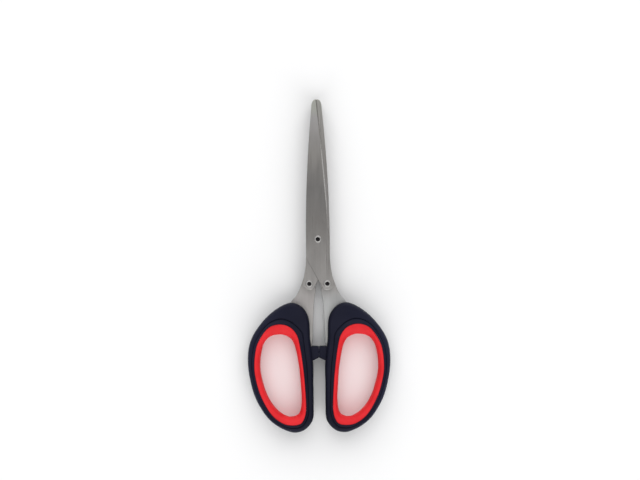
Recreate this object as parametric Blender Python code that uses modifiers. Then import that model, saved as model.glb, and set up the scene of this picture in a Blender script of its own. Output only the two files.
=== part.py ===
"""Five-blade herb scissors, lying closed on their back. Metres, +Z up.

The pivot axis is the Z axis, the tips point along +Y and the face with the hollow rivet ends is up.
Each half is a stack of five blades, a rivet with four spacers, a handle and a finger grip. The left
half is the right half turned half a turn about the Y axis, so the ten blades lie interleaved.
"""

import math

import bmesh
import bpy
from mathutils import Matrix, Vector

# Blades
BLADE_PAIRS = 5
BLADE_REACH = 0.0851  # pivot axis to the tip
BLADE_HALF_WIDTH = 0.00725  # pivot axis to the spine
BLADE_THICKNESS = 0.0009
EDGE_OFFSET = 0.0071  # pivot axis to the cutting edge, beside the pivot
EDGE_BOW = 0.0005  # how far the cutting edge bulges from a straight line
EDGE_GRIND = 0.00065  # width of the ground bevel
EDGE_LAND = 0.0002  # thickness left at the cutting edge
TIP_LENGTH = 0.0042
TIP_ROUND = 0.0005
SPINE_TAPER_SHARE = 0.634
SPINE_TAPER_POWER = 1.9
TAIL_RADIUS = 0.0038  # round end of a short blade, about its rivet
TAIL_RUN_ON = math.radians(8)  # how far the round end runs on above the rivet on the outer side
SHOULDER_DROP = 0.0112  # pivot axis down to the corner where the spine turns towards the rivet
SHOULDER_RADIUS = 0.0060

# Stack and rivets
FACE_GAP = 0.0001  # running clearance between stacked faces
PIVOT_SPACER_THICKNESS = 0.0010
RIVET_OFFSET = 0.0055  # axis of symmetry to a lower rivet
RIVET_DROP = 0.0271  # pivot axis down to the lower rivets
RIVET_RADIUS = 0.00175
RIVET_FLANGE_RADIUS = 0.0024
RIVET_FLANGE_THICKNESS = 0.00035
RIVET_HEAD_RADIUS = 0.0027
RIVET_BORE_RADIUS = 0.0013  # the hollow, rolled end
RIVET_BORE_DEPTH = 0.0050
HOLE_CLEARANCE = 0.0001  # round a rivet's shank
PIVOT_SPACER_RADIUS = 0.0040
RIVET_SPACER_RADIUS = 0.0030

# Tang, which the handle is moulded round
ANCHOR_RADIUS = 0.0020  # hole that the handle's plastic runs through
MOULD_GAP = 0.0001

# Handle and finger grip
HANDLE_INNER = 0.00365  # axis of symmetry to the handle's straight side
HANDLE_WIDTH = 0.03985
HANDLE_LENGTH = 0.07925
HANDLE_DROP = 0.0385  # pivot axis down to the top of the handle
HANDLE_ROUND = 0.0019  # width of the rounded outer edge
HANDLE_ROUND_DEPTH = 0.0040
RIDGE_WIDTH = 0.0037  # the dished band between the flat lobe and the grip, where there is room
GRIP_DEPTH = 0.0014  # how far the grip's rim lies below the handle's face
GRIP_GAP = 0.0001
LUG_SETBACK = 0.0267  # top of the handle down to the top of the stop lug
LUG_HEIGHT = 0.0084
LUG_THICKNESS = 0.0090
LUG_GAP = 0.0001  # between the two lugs when the scissors are closed
LUG_ROOT = 0.0030  # how deep the lug runs into the handle
LUG_BEVEL = 0.0004

CUT_OVERRUN = 0.0010  # how far a cutter runs past what it cuts
MERGE_DISTANCE = 0.00001
SHARP_ANGLE = math.radians(35)

# Counts of facets
EDGE_STEPS = 6
SPINE_STEPS = 8
ARC_STEPS = 7
CURVE_STEPS = 3
EDGE_ROUND_STEPS = 3
ROUND_SEGMENTS = 24
LOOP_POINTS = 72
OUTLINE_STEPS = 6

# Right side of a blade below the pivot: shares of the half width and of the drop to the rivet
FLANK_SHARES = ((1.0, 0.20), (1.0, 0.40), (1.06, 0.62), (1.19, 0.83))
# The widest point of the tang, as a share of the handle's width, and its end, of the lug's height
TANG_SPREAD_SHARE = 0.343
TANG_END_SHARE = 0.857
# Inner side of the tang, from the rivet down: shares of its spread and of its length
TANG_INNER_SHARES = (
    (0.09, 0.08),
    (0.142, 0.19),
    (0.168, 0.29),
    (0.188, 0.44),
    (0.209, 0.66),
    (0.228, 0.80),
    (0.29, 0.90),
    (0.31, 1.0),
)
# Outer side of the tang, from its end up
TANG_OUTER_SHARES = (
    (0.44, 1.0),
    (0.45, 0.80),
    (0.53, 0.64),
    (0.68, 0.52),
    (0.97, 0.41),
    (1.0, 0.28),
    (0.945, 0.23),
    (0.805, 0.17),
    (0.67, 0.08),
    (0.59, 0.0),
)
ANCHOR_SHARES = (0.76, 0.36)
# Outlines of the handle, of the grip's seat and of the finger hole, from the top and clockwise:
# shares of the handle's width, from its inner side, and of its length, from its foot
HANDLE_SHARES = (
    (0.316, 1.000),
    (0.539, 0.957),
    (0.774, 0.854),
    (0.952, 0.713),
    (1.000, 0.552),
    (0.946, 0.362),
    (0.845, 0.223),
    (0.646, 0.085),
    (0.350, 0.003),
    (0.154, 0.015),
    (0.016, 0.094),
    (0.000, 0.205),
    (0.000, 0.375),
    (0.000, 0.527),
    (0.042, 0.716),
    (0.063, 0.881),
    (0.157, 0.963),
)
SEAT_SHARES = (
    (0.505, 0.837),
    (0.669, 0.814),
    (0.781, 0.750),
    (0.869, 0.659),
    (0.902, 0.504),
    (0.865, 0.381),
    (0.783, 0.259),
    (0.635, 0.135),
    (0.469, 0.071),
    (0.328, 0.056),
    (0.196, 0.069),
    (0.133, 0.121),
    (0.112, 0.196),
    (0.129, 0.381),
    (0.152, 0.504),
    (0.195, 0.659),
    (0.241, 0.750),
    (0.347, 0.814),
)
HOLE_SHARES = (
    (0.504, 0.756),
    (0.624, 0.747),
    (0.707, 0.720),
    (0.775, 0.658),
    (0.814, 0.514),
    (0.773, 0.383),
    (0.680, 0.257),
    (0.539, 0.163),
    (0.370, 0.117),
    (0.227, 0.141),
    (0.185, 0.237),
    (0.197, 0.381),
    (0.218, 0.504),
    (0.275, 0.658),
    (0.332, 0.719),
    (0.419, 0.747),
)
HOLE_CENTRE_SHARES = (0.47, 0.46)
ROUND_SHARE = 0.50  # the most of the band round the grip that the rounded edge takes
RIDGE_SHARE = 0.42  # the most of it that the dished part takes
# Section of the grip from its rim to the finger hole: shares of its width and of its half height
GRIP_SECTION_SHARES = ((0.0, 1.0), (0.30, 0.97), (0.60, 0.84), (0.86, 0.60), (1.0, 0.25))
# Outline of the lug's free end, from the top: shares of its reach from the handle and of its height
LUG_SHARES = ((0.93, 0.0), (1.0, 0.09), (1.0, 0.80), (0.10, 1.0))

# Heights, from the middle of the stack
pair_pitch = 2 * BLADE_THICKNESS + PIVOT_SPACER_THICKNESS + 3 * FACE_GAP
middle_pair = (BLADE_PAIRS + 1) / 2
tang_pair = (BLADE_PAIRS + 1) // 2
stack_half_height = (middle_pair - 1) * pair_pitch + BLADE_THICKNESS + FACE_GAP / 2
half_height = stack_half_height + FACE_GAP + RIVET_FLANGE_THICKNESS
rivet_hole_radius = RIVET_RADIUS + HOLE_CLEARANCE

# Places in plan, from the pivot axis
lug_drop = HANDLE_DROP + LUG_SETBACK
tang_spread = HANDLE_INNER + TANG_SPREAD_SHARE * HANDLE_WIDTH
tang_length = lug_drop + TANG_END_SHARE * LUG_HEIGHT - RIVET_DROP


def blade_level(pair):
    """Height of the flat shearing face of a right-hand blade, counting pairs from the front."""
    return FACE_GAP / 2 + (middle_pair - pair) * pair_pitch


# Building blocks


def clear_scene():
    for old in list(bpy.data.objects):
        bpy.data.objects.remove(old)


def new_collection(name):
    collection = bpy.data.collections.new(name)
    bpy.context.scene.collection.children.link(collection)
    return collection


def new_material(name, colour, roughness, metallic=0.0):
    material = bpy.data.materials.new(name)
    material.use_nodes = True
    shader = material.node_tree.nodes["Principled BSDF"]
    shader.inputs["Base Color"].default_value = (*colour, 1.0)
    shader.inputs["Roughness"].default_value = roughness
    shader.inputs["Metallic"].default_value = metallic
    return material


def new_object(name, mesh, collection, parent=None, material=None, place=(0, 0, 0)):
    obj = bpy.data.objects.new(name, mesh)
    collection.objects.link(obj)
    obj.location = place
    obj.parent = parent
    if material:
        mesh.materials.clear()
        mesh.materials.append(material)
    return obj


def new_cutter(name, mesh, place=(0, 0, 0)):
    cutter = new_object(name, mesh, cutters, place=place)
    cutter.hide_render = True
    cutter.display_type = "WIRE"
    return cutter


def skin(name, loops, hollow=False):
    """Mesh through loops of points that match one to one. It is capped, or closed round if hollow."""
    shape = bmesh.new()
    rings = [[shape.verts.new(point) for point in loop] for loop in loops]
    pairs = list(zip(rings, rings[1:]))
    if hollow:
        pairs.append((rings[-1], rings[0]))
    else:
        shape.faces.new(rings[0])
        shape.faces.new(rings[-1])
    for low, high in pairs:
        for i in range(len(low)):
            j = (i + 1) % len(low)
            shape.faces.new((low[i], low[j], high[j], high[i]))
    bmesh.ops.recalc_face_normals(shape, faces=shape.faces)
    mesh = bpy.data.meshes.new(name)
    shape.to_mesh(mesh)
    shape.free()
    return mesh


def plate(name, outline, low, high):
    """Flat plate cut to an outline, as a filled curve made into a mesh."""
    curve = bpy.data.curves.new(name, "CURVE")
    curve.dimensions = "2D"
    curve.fill_mode = "BOTH"
    curve.extrude = (high - low) / 2
    spline = curve.splines.new("POLY")
    spline.points.add(len(outline) - 1)
    for spline_point, point in zip(spline.points, outline):
        spline_point.co = (point.x, point.y, 0, 1)
    spline.use_cyclic_u = True
    blank = new_object(name, curve, cutters, place=(0, 0, (low + high) / 2))
    mesh = baked_mesh(blank)
    mesh.transform(Matrix.Translation((0, 0, (low + high) / 2)))
    shape = bmesh.new()
    shape.from_mesh(mesh)
    bmesh.ops.remove_doubles(shape, verts=shape.verts, dist=MERGE_DISTANCE)
    shape.to_mesh(mesh)
    shape.free()
    return mesh


def cylinder(name, radius, height):
    shape = bmesh.new()
    bmesh.ops.create_cone(
        shape, cap_ends=True, segments=ROUND_SEGMENTS, radius1=radius, radius2=radius, depth=height
    )
    mesh = bpy.data.meshes.new(name)
    shape.to_mesh(mesh)
    shape.free()
    return mesh


def add_boolean(obj, operation, other):
    modifier = obj.modifiers.new(operation.title(), "BOOLEAN")
    modifier.operation = operation
    modifier.object = other


def baked_mesh(obj):
    """Mesh of the object with its modifiers applied. The object and its own mesh are removed."""
    bpy.context.view_layer.update()
    graph = bpy.context.evaluated_depsgraph_get()
    mesh = bpy.data.meshes.new_from_object(obj.evaluated_get(graph))
    mesh.name = obj.name
    bpy.data.objects.remove(obj)
    return mesh


def shade(mesh):
    mesh.shade_smooth()
    mesh.set_sharp_from_angle(angle=SHARP_ANGLE)


def turned_mesh(name, profile, closed=False):
    """Solid of revolution about Z. The profile holds radius and height, down the outer side."""
    mesh = bpy.data.meshes.new(name)
    count = len(profile)
    edges = [(i, i + 1) for i in range(count - 1)]
    if closed:
        edges.append((count - 1, 0))
    mesh.from_pydata([(radius, 0, height) for radius, height in profile], edges, [])
    blank = new_object(name, mesh, cutters)
    screw = blank.modifiers.new("Screw", "SCREW")
    screw.steps = screw.render_steps = ROUND_SEGMENTS
    screw.use_merge_vertices = True
    screw.merge_threshold = MERGE_DISTANCE
    turned = baked_mesh(blank)
    shade(turned)
    return turned


# Outlines


def smooth_loop(points, steps):
    """Closed curve through the points, each span a cubic whose slopes follow its neighbours."""
    points = [Vector(point) for point in points]
    count = len(points)
    spans = [(points[(i + 1) % count] - points[i]).length for i in range(count)]
    slopes = [(points[(i + 1) % count] - points[i - 1]) / (spans[i] + spans[i - 1]) for i in range(count)]
    curve = []
    for i, start in enumerate(points):
        j = (i + 1) % count
        for step in range(steps):
            t = step / steps
            curve.append(
                start * (2 * t**3 - 3 * t**2 + 1)
                + slopes[i] * spans[i] * (t**3 - 2 * t**2 + t)
                + points[j] * (3 * t**2 - 2 * t**3)
                + slopes[j] * spans[i] * (t**3 - t**2)
            )
    return curve


def smooth_line(points, steps):
    """Open curve through the points, from the first to the last."""
    before, after = points[0] * 2 - points[1], points[-1] * 2 - points[-2]
    curve = smooth_loop([before, *points, after], steps)
    return curve[steps : steps * len(points) + 1]


def by_angle(loop, centre, count):
    """The loop as `count` points at equal angles about the centre, from the top and clockwise."""
    spokes = []
    for i in range(count):
        angle = 2 * math.pi * i / count
        spoke = Vector((math.sin(angle), math.cos(angle)))
        for a, b in zip(loop, loop[1:] + loop[:1]):
            a, b = a - centre, b - centre
            side_a, side_b = spoke.x * a.y - spoke.y * a.x, spoke.x * b.y - spoke.y * b.x
            if side_a >= 0 > side_b and (a + b).dot(spoke) > 0:
                spokes.append(centre + a.lerp(b, side_a / (side_a - side_b)))
                break
    return spokes


def inward_normals(loop):
    """Unit normals that point into a clockwise loop."""
    normals = []
    for i in range(len(loop)):
        along = (loop[(i + 1) % len(loop)] - loop[i - 1]).normalized()
        normals.append(Vector((along.y, -along.x)))
    return normals


def moved_in(loop, distances):
    return [point + normal * d for point, normal, d in zip(loop, inward_normals(loop), distances)]


def fillet(before, corner, after, radius):
    """Arc that rounds the corner between two straight lines."""
    to_before, to_after = (before - corner).normalized(), (after - corner).normalized()
    half_angle = to_before.angle(to_after) / 2
    setback = radius / math.tan(half_angle)
    centre = corner + (to_before + to_after).normalized() * (radius / math.sin(half_angle))
    start = (corner + to_before * setback - centre).normalized()
    end = (corner + to_after * setback - centre).normalized()
    return [centre + start.slerp(end, step / ARC_STEPS) * radius for step in range(ARC_STEPS + 1)]


def cutting_edge(share):
    """Point on the cutting edge at a share of the way from the pivot to the tip."""
    x = EDGE_OFFSET * (1 - share) + 4 * EDGE_BOW * share * (1 - share)
    return Vector((x, share * BLADE_REACH))


def spine_point(share):
    """Point on the spine at a share of the way from the pivot to the tip."""
    taper = 1 - SPINE_TAPER_SHARE * share**SPINE_TAPER_POWER
    return Vector((-BLADE_HALF_WIDTH * taper, share * BLADE_REACH))


def tip_outline():
    """Rounded tip, from the cutting edge over to the spine, anticlockwise."""
    shoulder = spine_point(1 - TIP_LENGTH / BLADE_REACH)
    tip_x = cutting_edge(1 - TIP_ROUND / BLADE_REACH).x - TIP_ROUND
    small = [
        Vector((tip_x, BLADE_REACH - TIP_ROUND)) + TIP_ROUND * Vector((math.cos(a), math.sin(a)))
        for a in (0, math.pi / 4)
    ]
    big = []
    for step in range(ARC_STEPS + 1):
        angle = math.pi / 2 * (1 - step / ARC_STEPS)
        x = tip_x + (shoulder.x - tip_x) * math.cos(angle)
        big.append(Vector((x, shoulder.y + TIP_LENGTH * math.sin(angle))))
    return small + big


def tang_point(shares):
    return Vector((shares[0] * tang_spread, -RIVET_DROP - shares[1] * tang_length))


def tail_tangent(corner):
    """Where the straight side from the corner touches the round end about the rivet."""
    to_rivet = Vector((RIVET_OFFSET, -RIVET_DROP)) - corner
    swing = math.asin(TAIL_RADIUS / to_rivet.length)
    along = math.sqrt(to_rivet.length**2 - TAIL_RADIUS**2)
    return corner + to_rivet.normalized() @ Matrix.Rotation(swing, 2) * along


def blade_outline(with_tang):
    """Anticlockwise outline of a right-hand blade, with how much of the grind each point gets."""
    last_edge_share = 1 - 2 * TIP_ROUND / BLADE_REACH
    edge = [cutting_edge(last_edge_share * i / EDGE_STEPS) for i in range(EDGE_STEPS + 1)]
    tip = tip_outline()
    last_spine_share = 1 - TIP_LENGTH / BLADE_REACH
    spine = [spine_point(last_spine_share * (1 - i / SPINE_STEPS)) for i in range(1, SPINE_STEPS + 1)]
    corner = Vector((-BLADE_HALF_WIDTH, -SHOULDER_DROP))
    touch = tail_tangent(corner)
    shoulder = fillet(spine[-1], corner, touch, SHOULDER_RADIUS)
    flank = [Vector((x * BLADE_HALF_WIDTH, -y * RIVET_DROP)) for x, y in reversed(FLANK_SHARES)]
    if with_tang:
        inner = [tang_point(shares) for shares in TANG_INNER_SHARES]
        outer = [tang_point(shares) for shares in TANG_OUTER_SHARES]
        tail = smooth_line([touch, *inner], CURVE_STEPS) + smooth_line(outer, CURVE_STEPS)
    else:
        rivet = Vector((RIVET_OFFSET, -RIVET_DROP))
        first = (touch - rivet).angle_signed(Vector((1, 0)))
        first += 2 * math.pi if first < 0 else 0
        turn = 2 * math.pi + TAIL_RUN_ON - first
        arc = [first + turn * i / (2 * ARC_STEPS) for i in range(2 * ARC_STEPS + 1)]
        tail = [rivet + TAIL_RADIUS * Vector((math.cos(a), math.sin(a))) for a in arc]
    flank = smooth_line([tail[-1], *flank], CURVE_STEPS)[1:]
    ground = [(point, 1.0) for point in edge] + [(point, 0.5) for point in tip[:2]]
    plain = [(point, 0.0) for point in tip[2:] + spine + shoulder + tail + flank]
    return ground + plain


# Blades


def level_loop(outline, height):
    return [(point.x, point.y, height) for point in outline]


def blade_mesh(name, with_tang):
    """Flat plate whose lower face shears. The grind runs along the upper side of the cutting edge."""
    outline, grinds = zip(*reversed(blade_outline(with_tang)))
    outline = list(outline)
    ground = moved_in(outline, [grind * EDGE_GRIND for grind in grinds])
    loops = [
        level_loop(outline, 0),
        level_loop(outline, EDGE_LAND),
        level_loop(ground, BLADE_THICKNESS),
    ]
    blank = new_object(name, skin(name, loops), cutters)
    holes = [((0, 0), rivet_hole_radius), ((RIVET_OFFSET, -RIVET_DROP), rivet_hole_radius)]
    if with_tang:
        holes.append((tang_point(ANCHOR_SHARES), ANCHOR_RADIUS))
    for (x, y), radius in holes:
        bit = cylinder("drill", radius, BLADE_THICKNESS + 2 * CUT_OVERRUN)
        add_boolean(blank, "DIFFERENCE", new_cutter("drill", bit, (x, y, BLADE_THICKNESS / 2)))
    mesh = baked_mesh(blank)
    shade(mesh)
    return mesh


def add_blades(side, parent):
    """The five blades of one half. The half's own levels run from the front on the right side."""
    short = blade_mesh(f"{side}_short_blade", with_tang=False)
    long = blade_mesh(f"{side}_tang_blade", with_tang=True)
    for level in range(1, BLADE_PAIRS + 1):
        pair = level if side == "right" else BLADE_PAIRS + 1 - level
        carries_tang = pair == tang_pair
        name = f"{side}_blade_{pair}" + ("_tang" if carries_tang else "")
        mesh = long if carries_tang else short
        new_object(name, mesh, parts, parent, steel, (0, 0, blade_level(level)))


# Rivets and spacers


def rivet_mesh(name, length):
    """Semi-tubular rivet: solid head at the foot, hollow rolled flange at the top."""
    rim = RIVET_FLANGE_THICKNESS / 2
    profile = (
        (0, length - RIVET_BORE_DEPTH),
        (RIVET_BORE_RADIUS, length - RIVET_BORE_DEPTH),
        (RIVET_BORE_RADIUS, length - rim),
        (RIVET_BORE_RADIUS + rim, length),
        (RIVET_FLANGE_RADIUS - rim, length),
        (RIVET_FLANGE_RADIUS, length - rim),
        (RIVET_FLANGE_RADIUS, length - RIVET_FLANGE_THICKNESS),
        (RIVET_RADIUS, length - RIVET_FLANGE_THICKNESS),
        (RIVET_RADIUS, RIVET_FLANGE_THICKNESS),
        (RIVET_HEAD_RADIUS, RIVET_FLANGE_THICKNESS),
        (RIVET_HEAD_RADIUS, rim),
        (RIVET_HEAD_RADIUS - rim, 0),
        (0, 0),
    )
    return turned_mesh(name, profile)


def spacer_mesh(name, outer_radius, thickness):
    bore = rivet_hole_radius
    profile = ((outer_radius, thickness), (outer_radius, 0), (bore, 0), (bore, thickness))
    return turned_mesh(name, profile, closed=True)


def add_rivets(pivot, halves):
    """Each lower rivet runs from the back of its own half's last blade to the front of its first."""
    lift = BLADE_THICKNESS + FACE_GAP
    length = 2 * half_height - lift
    foot = {"right": lift - half_height, "left": -half_height}
    for side, sign in (("right", 1), ("left", -1)):
        name = f"{side}_rivet"
        place = (sign * RIVET_OFFSET, -RIVET_DROP, foot[side])
        rivet = new_object(name, rivet_mesh(name, length), parts, pivot, rivet_steel, place)
        keep_place_under(rivet, halves[side])
    mesh = rivet_mesh("pivot_rivet", 2 * half_height)
    new_object("pivot_rivet", mesh, parts, pivot, rivet_steel, (0, 0, -half_height))


def keep_place_under(obj, parent):
    bpy.context.view_layer.update()
    place = obj.matrix_world.copy()
    obj.parent = parent
    obj.matrix_parent_inverse = parent.matrix_world.inverted()
    obj.matrix_world = place


def add_spacers(pivot, halves):
    """Spacers between the pairs at the pivot, and between neighbouring blades of each half."""
    thin = spacer_mesh("pivot_spacer", PIVOT_SPACER_RADIUS, PIVOT_SPACER_THICKNESS)
    thick = spacer_mesh("rivet_spacer", RIVET_SPACER_RADIUS, pair_pitch - BLADE_THICKNESS - 2 * FACE_GAP)
    for i in range(1, BLADE_PAIRS):
        between_pairs = (middle_pair - i) * pair_pitch - pair_pitch / 2 - PIVOT_SPACER_THICKNESS / 2
        new_object(f"pivot_spacer_{i}", thin, parts, pivot, steel, (0, 0, between_pairs))
        for side, half in halves.items():
            number = i if side == "right" else BLADE_PAIRS - i
            place = (RIVET_OFFSET, -RIVET_DROP, blade_level(i + 1) + BLADE_THICKNESS + FACE_GAP)
            new_object(f"{side}_rivet_spacer_{number}", thick, parts, half, steel, place)


# Handle and grip


def handle_point(shares):
    foot = -HANDLE_DROP - HANDLE_LENGTH
    return Vector((HANDLE_INNER + shares[0] * HANDLE_WIDTH, foot + shares[1] * HANDLE_LENGTH))


def handle_loop(table):
    """One of the handle's outlines as points that match those of the others, spoke by spoke."""
    loop = smooth_loop([handle_point(shares) for shares in table], OUTLINE_STEPS)
    return by_angle(loop, handle_point(HOLE_CENTRE_SHARES), LOOP_POINTS)


def mirrored_rows(rows):
    """The rows of an upper half section, then the same rows below the middle."""
    return rows + [(loop, -height) for loop, height in reversed(rows)]


def handle_body():
    """Ring between the outline and the grip's seat, with rounded edges and a dished inner band."""
    outline, seat = handle_loop(HANDLE_SHARES), handle_loop(SEAT_SHARES)
    widths = [(a - b).dot(normal) for a, b, normal in zip(seat, outline, inward_normals(outline))]
    rounds = [min(HANDLE_ROUND, ROUND_SHARE * width) for width in widths]
    dished = [min(RIDGE_WIDTH / width, RIDGE_SHARE) for width in widths]
    rows = []
    for step in range(EDGE_ROUND_STEPS + 1):
        angle = math.pi / 2 * step / EDGE_ROUND_STEPS
        insets = [reach * (1 - math.cos(angle)) for reach in rounds]
        height = half_height - HANDLE_ROUND_DEPTH * (1 - math.sin(angle))
        rows.append((moved_in(outline, insets), height))
    ridge = [inner.lerp(outer, share) for inner, outer, share in zip(seat, outline, dished)]
    rows.append((ridge, half_height))
    rows.append((seat, half_height - GRIP_DEPTH))
    loops = [level_loop(loop, height) for loop, height in mirrored_rows(rows)]
    return skin("handle", loops, hollow=True)


def stop_lug():
    """Block on the handle's inner side that meets the other handle's block when they close."""
    face, root = LUG_GAP / 2, HANDLE_INNER + LUG_ROOT
    reach = HANDLE_INNER - face
    outline = [Vector((root, -lug_drop))]
    outline += [Vector((HANDLE_INNER - x * reach, -lug_drop - y * LUG_HEIGHT)) for x, y in LUG_SHARES]
    outline.append(Vector((root, -lug_drop - LUG_HEIGHT)))
    lug = new_cutter("lug", plate("lug", outline, -LUG_THICKNESS / 2, LUG_THICKNESS / 2))
    bevel = lug.modifiers.new("Bevel", "BEVEL")
    bevel.width = LUG_BEVEL
    bevel.segments = 2
    return lug


def tang_pocket():
    """Cutter for the slot that the tang fills. It leaves the post that runs through the anchor hole."""
    outline, _ = zip(*reversed(blade_outline(with_tang=True)))
    outline = list(outline)
    wide = moved_in(outline, [-MOULD_GAP] * len(outline))
    low = blade_level(tang_pair) - MOULD_GAP
    high = blade_level(tang_pair) + BLADE_THICKNESS + MOULD_GAP
    pocket = new_cutter("pocket", plate("pocket", wide, low, high))
    x, y = tang_point(ANCHOR_SHARES)
    height = high - low + 2 * CUT_OVERRUN
    post = new_cutter("post", cylinder("post", ANCHOR_RADIUS - MOULD_GAP, height), (x, y, (low + high) / 2))
    add_boolean(pocket, "DIFFERENCE", post)
    return pocket


def handle_mesh(name):
    body = new_object(name, handle_body(), cutters)
    add_boolean(body, "UNION", stop_lug())
    add_boolean(body, "DIFFERENCE", tang_pocket())
    mesh = baked_mesh(body)
    shade(mesh)
    return mesh


def grip_mesh(name):
    """Soft ring that lines the finger hole, crowned from its rim down to the hole."""
    rim = moved_in(handle_loop(SEAT_SHARES), [GRIP_GAP] * LOOP_POINTS)
    hole = handle_loop(HOLE_SHARES)
    rows = []
    for across, up in GRIP_SECTION_SHARES:
        loop = [outer.lerp(inner, across) for outer, inner in zip(rim, hole)]
        rows.append((loop, up * (half_height - GRIP_DEPTH)))
    loops = [level_loop(loop, height) for loop, height in mirrored_rows(rows)]
    mesh = skin(name, loops, hollow=True)
    shade(mesh)
    return mesh


def add_handle(side, parent):
    new_object(f"{side}_handle", handle_mesh(f"{side}_handle"), parts, parent, black_plastic)
    new_object(f"{side}_finger_grip", grip_mesh(f"{side}_finger_grip"), parts, parent, red_rubber)


# Assembly

clear_scene()
parts = new_collection("herb_scissors")
cutters = new_collection("cutters")
steel = new_material("brushed_blade_steel", (0.42, 0.41, 0.40), 0.36, 1.0)
rivet_steel = new_material("rivet_steel", (0.55, 0.55, 0.54), 0.28, 1.0)
black_plastic = new_material("black_handle_plastic", (0.014, 0.015, 0.024), 0.42)
red_rubber = new_material("red_grip_rubber", (0.80, 0.035, 0.045), 0.55)

pivot = new_object("pivot_axis", None, parts, place=(0, 0, half_height))
halves = {}
for side, turn in (("right", 0), ("left", math.pi)):
    half = new_object(f"{side}_half", None, parts, pivot)
    half.rotation_euler = (0, turn, 0)
    halves[side] = half
    add_blades(side, half)
    add_handle(side, half)
add_rivets(pivot, halves)
add_spacers(pivot, halves)
bpy.context.view_layer.update()
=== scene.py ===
import math

import bmesh
import bpy
from mathutils import Matrix, Vector


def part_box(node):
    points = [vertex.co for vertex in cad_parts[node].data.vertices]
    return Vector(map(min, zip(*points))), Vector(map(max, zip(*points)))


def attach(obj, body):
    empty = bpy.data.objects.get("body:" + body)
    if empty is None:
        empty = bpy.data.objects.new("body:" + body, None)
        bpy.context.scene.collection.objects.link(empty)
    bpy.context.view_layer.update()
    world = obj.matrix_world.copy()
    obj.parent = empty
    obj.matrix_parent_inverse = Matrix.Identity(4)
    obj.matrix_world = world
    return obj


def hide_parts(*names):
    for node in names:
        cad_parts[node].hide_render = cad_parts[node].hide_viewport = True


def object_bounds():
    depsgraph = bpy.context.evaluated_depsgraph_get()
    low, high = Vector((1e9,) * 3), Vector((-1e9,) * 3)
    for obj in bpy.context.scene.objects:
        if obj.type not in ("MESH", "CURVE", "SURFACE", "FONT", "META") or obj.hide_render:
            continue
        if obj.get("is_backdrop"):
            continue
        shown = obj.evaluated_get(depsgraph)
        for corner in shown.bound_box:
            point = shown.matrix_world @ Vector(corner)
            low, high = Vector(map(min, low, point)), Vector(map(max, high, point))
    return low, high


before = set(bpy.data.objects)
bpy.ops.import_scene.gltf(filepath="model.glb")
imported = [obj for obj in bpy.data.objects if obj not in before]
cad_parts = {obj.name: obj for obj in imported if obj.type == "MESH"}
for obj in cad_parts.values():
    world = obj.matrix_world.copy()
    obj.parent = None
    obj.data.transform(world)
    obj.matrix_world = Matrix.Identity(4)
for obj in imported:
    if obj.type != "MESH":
        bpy.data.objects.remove(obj)  # metres: pivot axis on Z, tips along +Y, hollow rivet ends up
cadLow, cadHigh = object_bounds()
print("frame loaded:", len(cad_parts), "solids")

mm = 0.001
mergeWithin = 0.002 * mm  # points nearer than this become one
drillSegments = 48
quarterMiddle = 0.3  # inset of a quarter circle's middle point, as a share of its radius
sides = ("right", "left")
pairs = range(1, 6)
tangPair = 3
bodyOf = {"right": "right_half", "left": "left_half"}

# Curves and outlines


def smoothCurve(points, steps, closed=True):
    # A cubic through the points, whose slopes follow the neighbours
    if not closed:
        points = [points[0] * 2 - points[1], *points, points[-1] * 2 - points[-2]]
    count = len(points)
    spans = [(points[(i + 1) % count] - points[i]).length for i in range(count)]
    slopes = []
    for i in range(count):
        slopes.append((points[(i + 1) % count] - points[i - 1]) / (spans[i] + spans[i - 1]))
    curve = []
    for i, start in enumerate(points):
        j = (i + 1) % count
        for step in range(steps):
            t = step / steps
            curve.append(
                start * (2 * t**3 - 3 * t**2 + 1)
                + slopes[i] * spans[i] * (t**3 - 2 * t**2 + t)
                + points[j] * (3 * t**2 - 2 * t**3)
                + slopes[j] * spans[i] * (t**3 - t**2)
            )
    return curve if closed else curve[steps : steps * (count - 2) + 1]


def spokeLoop(loop, centre, count):
    # The loop read off at equal angles, clockwise from the top, so that loops match point by point
    points = []
    for i in range(count):
        angle = 2 * math.pi * i / count
        spoke = Vector((math.sin(angle), math.cos(angle)))
        for a, b in zip(loop, loop[1:] + loop[:1]):
            a, b = a - centre, b - centre
            sideA, sideB = spoke.x * a.y - spoke.y * a.x, spoke.x * b.y - spoke.y * b.x
            if sideA >= 0 > sideB and (a + b).dot(spoke) > 0:
                points.append(centre + a.lerp(b, sideA / (sideA - sideB)))
                break
    return points


def inwardNormals(loop):
    # For a clockwise loop
    normals = []
    for i in range(len(loop)):
        along = (loop[(i + 1) % len(loop)] - loop[i - 1]).normalized()
        normals.append(Vector((along.y, -along.x)))
    return normals


def movedIn(loop, distances):
    return [point + normal * d for point, normal, d in zip(loop, inwardNormals(loop), distances)]


def arcAbout(centre, radius, first, last, steps):
    angles = [first + (last - first) * i / steps for i in range(steps + 1)]
    return [centre + radius * Vector((math.cos(a), math.sin(a))) for a in angles]


def fillet(before, corner, after, radius, steps):
    toBefore, toAfter = (before - corner).normalized(), (after - corner).normalized()
    halfAngle = toBefore.angle(toAfter) / 2
    centre = corner + (toBefore + toAfter).normalized() * (radius / math.sin(halfAngle))
    setback = radius / math.tan(halfAngle)
    start = (corner + toBefore * setback - centre).normalized()
    end = (corner + toAfter * setback - centre).normalized()
    return [centre + start.slerp(end, i / steps) * radius for i in range(steps + 1)]


# Meshes


def level(loop, height):
    return [Vector((point.x, point.y, height)) for point in loop]


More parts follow.
